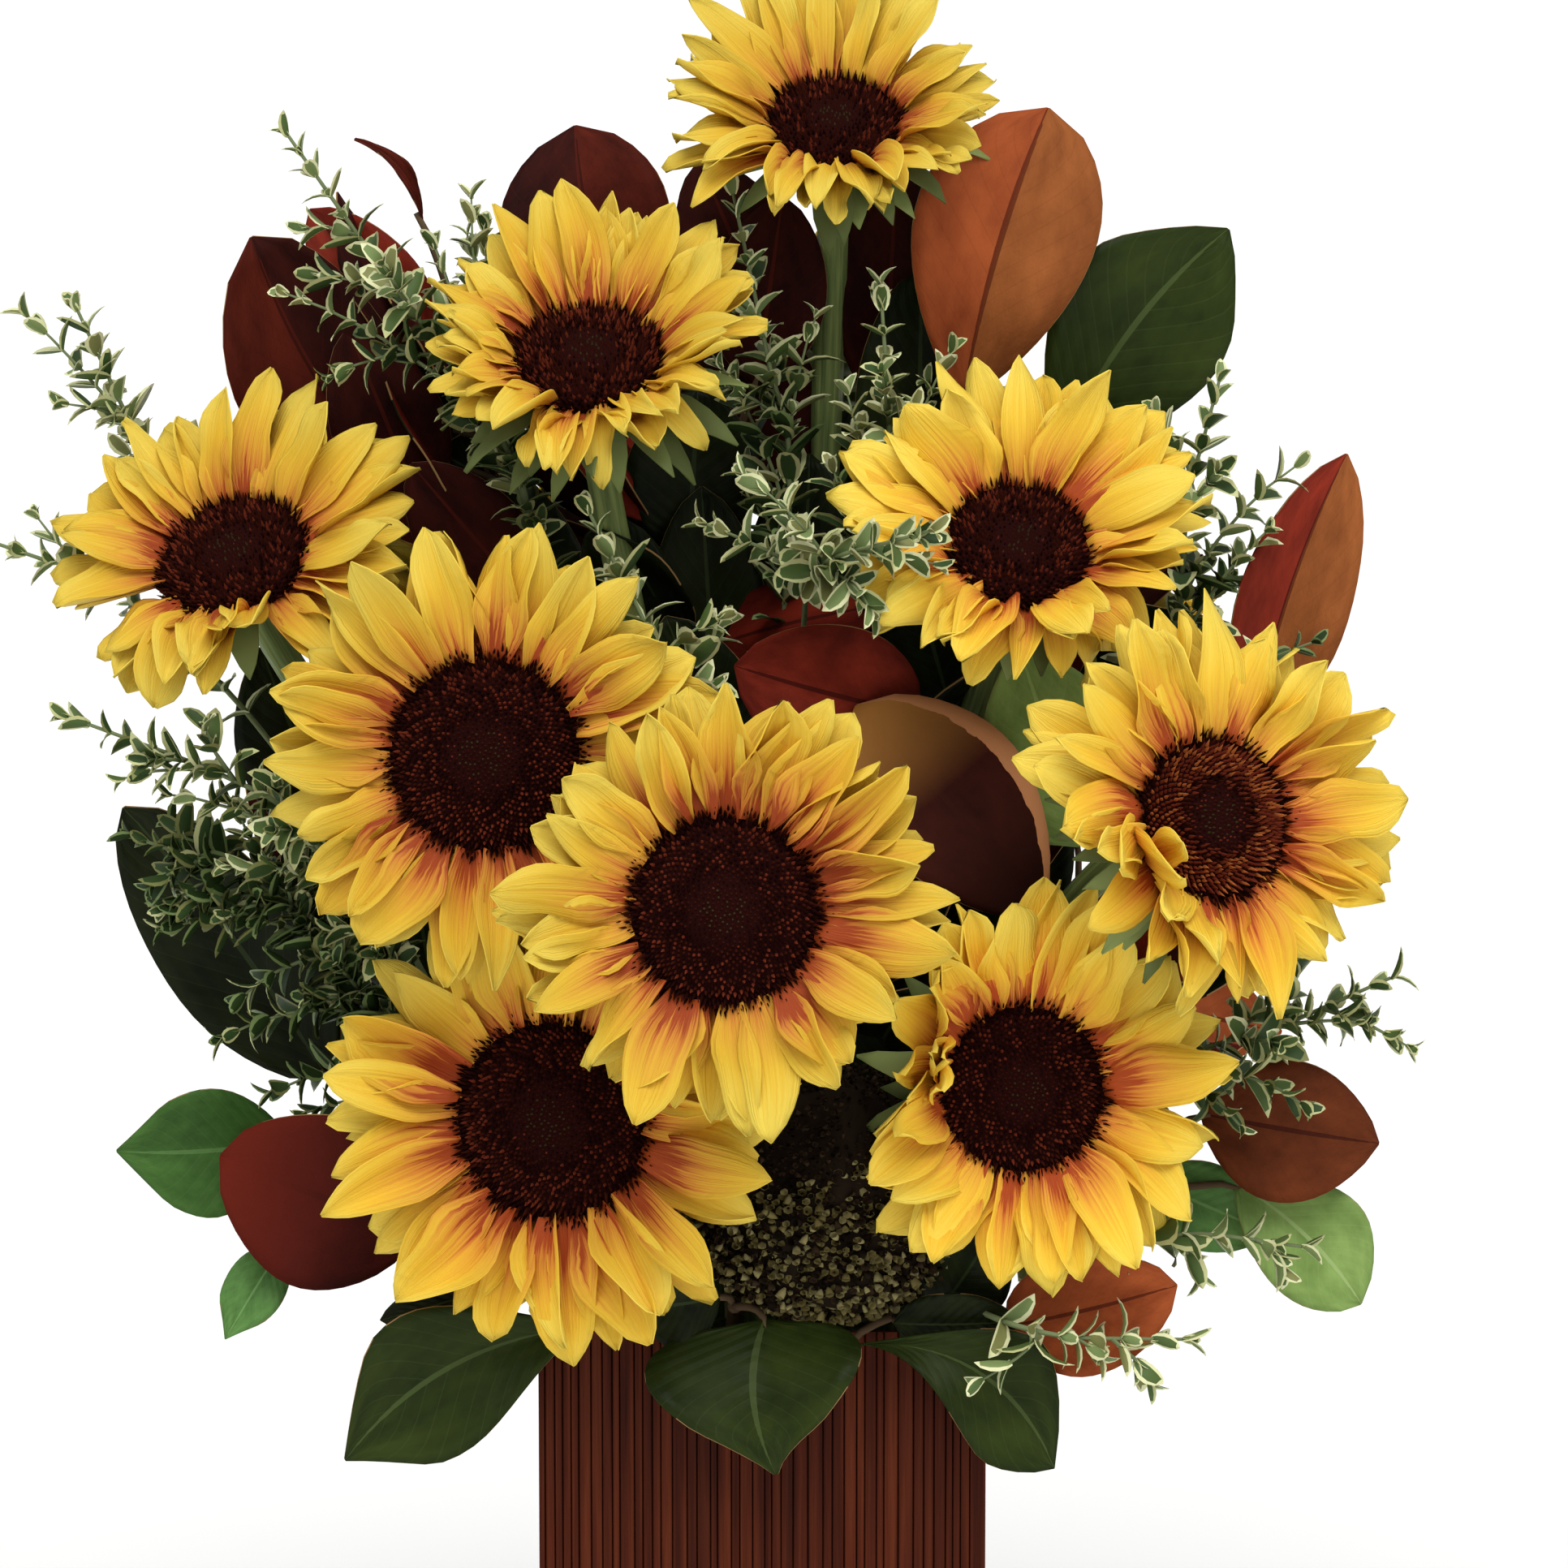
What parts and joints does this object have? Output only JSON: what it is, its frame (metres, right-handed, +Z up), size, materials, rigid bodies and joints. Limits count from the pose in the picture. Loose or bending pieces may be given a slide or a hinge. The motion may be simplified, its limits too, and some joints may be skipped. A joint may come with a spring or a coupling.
{
  "type": "sunflower arrangement in a square vase",
  "caption": "Cut sunflowers with magnolia leaves, variegated box sprigs and dried florets, standing in a square vase of dark vertical slats.",
  "frame": {"origin": "middle of the vase's flat underside, on the surface it stands on", "axes": "+Z up, -Y out of the front of the arrangement, +X to the viewer's right"},
  "size_m": [0.4305, 0.2748, 0.5943],
  "materials": {
    "slats": "satin",
    "foam": "matte",
    "rays": "matte",
    "stalks": "matte",
    "magnolia": "satin",
    "box": "satin",
    "dried": "matte"
  },
  "bodies": {
    "root": {"vase": "slats", "filling": "foam", "bloom_top": "rays", "bloom_upper_left": "rays", "bloom_left": "rays", "bloom_left_centre": "rays", "bloom_centre": "rays", "bloom_lower_left": "rays", "bloom_lower_right": "rays", "bloom_right": "rays", "bloom_upper_right": "rays", "bloom_back_top": "rays", "bloom_back_left": "rays", "bloom_back_right": "rays", "bloom_back_low": "rays", "stem_top": "stalks", "stem_upper_left": "stalks", "stem_left": "stalks", "stem_left_centre": "stalks", "stem_centre": "stalks", "stem_lower_left": "stalks", "stem_lower_right": "stalks", "stem_right": "stalks", "stem_upper_right": "stalks", "stem_back_top": "stalks", "stem_back_left": "stalks", "stem_back_right": "stalks", "stem_back_low": "stalks", "dried_clump": "dried", "magnolia_upper_left": "magnolia", "magnolia_top_left": "magnolia", "magnolia_upper_right": "magnolia", "magnolia_right": "magnolia", "magnolia_centre": "magnolia", "magnolia_left": "magnolia", "magnolia_low_left": "magnolia", "magnolia_front_left": "magnolia", "magnolia_front": "magnolia", "magnolia_front_right": "magnolia", "magnolia_low_right": "magnolia", "magnolia_back_left": "magnolia", "magnolia_back_right": "magnolia", "magnolia_back": "magnolia", "box_upper_left": "box", "box_far_left": "box", "box_left": "box", "box_left_low": "box", "box_left_mass": "box", "box_centre_column": "box", "box_centre_left": "box", "box_middle": "box", "box_middle_left": "box", "box_upper_right": "box", "box_right_low": "box", "box_foot_right": "box", "box_foot_front": "box", "box_back_left": "box", "box_back_right": "box", "box_back_low": "box"}
  },
  "joints": []
}
